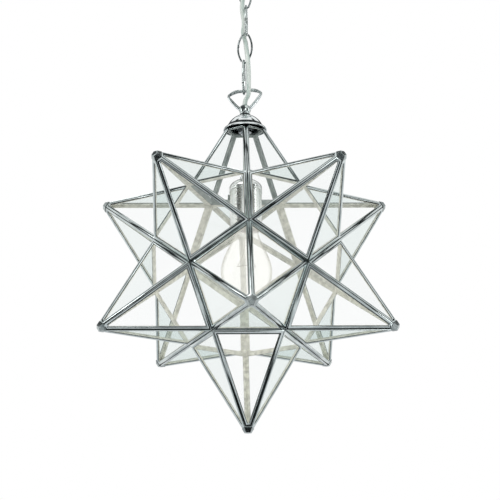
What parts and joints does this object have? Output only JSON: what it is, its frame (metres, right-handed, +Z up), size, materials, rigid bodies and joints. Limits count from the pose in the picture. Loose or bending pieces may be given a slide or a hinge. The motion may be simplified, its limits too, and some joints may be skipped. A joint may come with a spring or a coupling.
{
  "type": "star pendant light",
  "caption": "Hanging star lantern of framed clear glass spikes on a chain, with a ceiling canopy, a lampholder, a bulb and a hinged spike for access.",
  "frame": {"origin": "middle of the ceiling bracket's upper face, in the ceiling plane", "axes": "+Z up into the ceiling, +X along the ceiling bracket to the viewer's right, -Y towards the viewer"},
  "size_m": [0.3408, 0.3584, 0.6035],
  "materials": {
    "frame_chrome": "polished channel",
    "pane_glass": "clear float glass",
    "chrome_plate": "polished plating",
    "cast_chrome": "polished casting",
    "chain_steel": "plated wire",
    "bracket_steel": "zinc plated",
    "clear_flex": "clear sheath",
    "wire_insulation": "satin",
    "terminal_plastic": "satin",
    "ceramic": "glazed ceramic",
    "nickel": "nickel plated",
    "brass": "satin",
    "bulb_clear": "clear glass"
  },
  "bodies": {
    "ceiling": {"ceiling_bracket": "bracket_steel", "canopy_cup": "chrome_plate", "loop_collar": "chrome_plate", "threaded_nipple": "bracket_steel", "nipple_nuts": "bracket_steel", "terminal_block": "terminal_plastic", "lead_wires": "wire_insulation", "cable_upper": "clear_flex"},
    "chain": {"chain_link_1": "chain_steel", "chain_link_2": "chain_steel", "chain_link_3": "chain_steel", "chain_link_4": "chain_steel", "cable_lower": "clear_flex"},
    "star": {"hanger_bail": "cast_chrome", "clamp_screw": "brass", "stem_tube": "chrome_plate", "cap_dome": "chrome_plate", "spider_plate": "chrome_plate", "stem_nut": "bracket_steel", "tip_caps": "frame_chrome", "hinge_fixed_leaf": "frame_chrome", "hinge_pin": "bracket_steel", "cable_stem": "clear_flex", "frame_top": "frame_chrome", "frame_upper_front_left": "frame_chrome", "frame_upper_front_right": "frame_chrome", "frame_upper_left": "frame_chrome", "frame_upper_right": "frame_chrome", "frame_lower_front": "frame_chrome", "frame_lower_left": "frame_chrome", "frame_lower_right": "frame_chrome", "frame_lower_rear_left": "frame_chrome", "frame_lower_rear_right": "frame_chrome", "frame_bottom": "frame_chrome", "glass_top": "pane_glass", "glass_upper_front_left": "pane_glass", "glass_upper_front_right": "pane_glass", "glass_upper_left": "pane_glass", "glass_upper_right": "pane_glass", "glass_lower_front": "pane_glass", "glass_lower_left": "pane_glass", "glass_lower_right": "pane_glass", "glass_lower_rear_left": "pane_glass", "glass_lower_rear_right": "pane_glass", "glass_bottom": "pane_glass"},
    "lampholder": {"cable_grip": "chrome_plate", "holder_cover": "chrome_plate", "holder_body": "chrome_plate", "holder_insert": "ceramic", "threaded_shell": "nickel", "centre_contact": "brass", "cable_inner": "clear_flex"},
    "bulb": {"bulb_glass": "bulb_clear", "bulb_cap": "nickel", "bulb_contact": "brass", "bulb_stem": "bulb_clear"},
    "door": {"frame_upper_rear": "frame_chrome", "glass_upper_rear": "pane_glass", "door_tip_cap": "frame_chrome", "hinge_door_leaf": "frame_chrome"}
  },
  "joints": [
    {"name": "chain_swing", "type": "hinge", "parent": "ceiling", "child": "chain", "pos_m": [0, 0, -0.0487], "axis": [0, 1, 0], "range_deg": [-15, 15], "deforming": ["cable_upper"]},
    {"name": "star_tilt", "type": "hinge", "parent": "chain", "child": "star", "pos_m": [0, 0, -0.1906], "axis": [0.9563, -0.2924, 0], "range_deg": [-20, 20], "deforming": ["cable_lower"]},
    {"name": "holder_sway", "type": "hinge", "parent": "star", "child": "lampholder", "pos_m": [0, 0, -0.241], "axis": [0, 1, 0], "range_deg": [-8, 8], "deforming": ["cable_inner"]},
    {"name": "bulb_unscrew", "type": "slide", "parent": "lampholder", "child": "bulb", "axis": [0, 0, -1], "range_m": [0, 0.028]},
    {"name": "door_open", "type": "hinge", "parent": "star", "child": "door", "pos_m": [0, 0.05824, -0.31077], "axis": [1, 0, 0], "range_deg": [0, 100]}
  ]
}
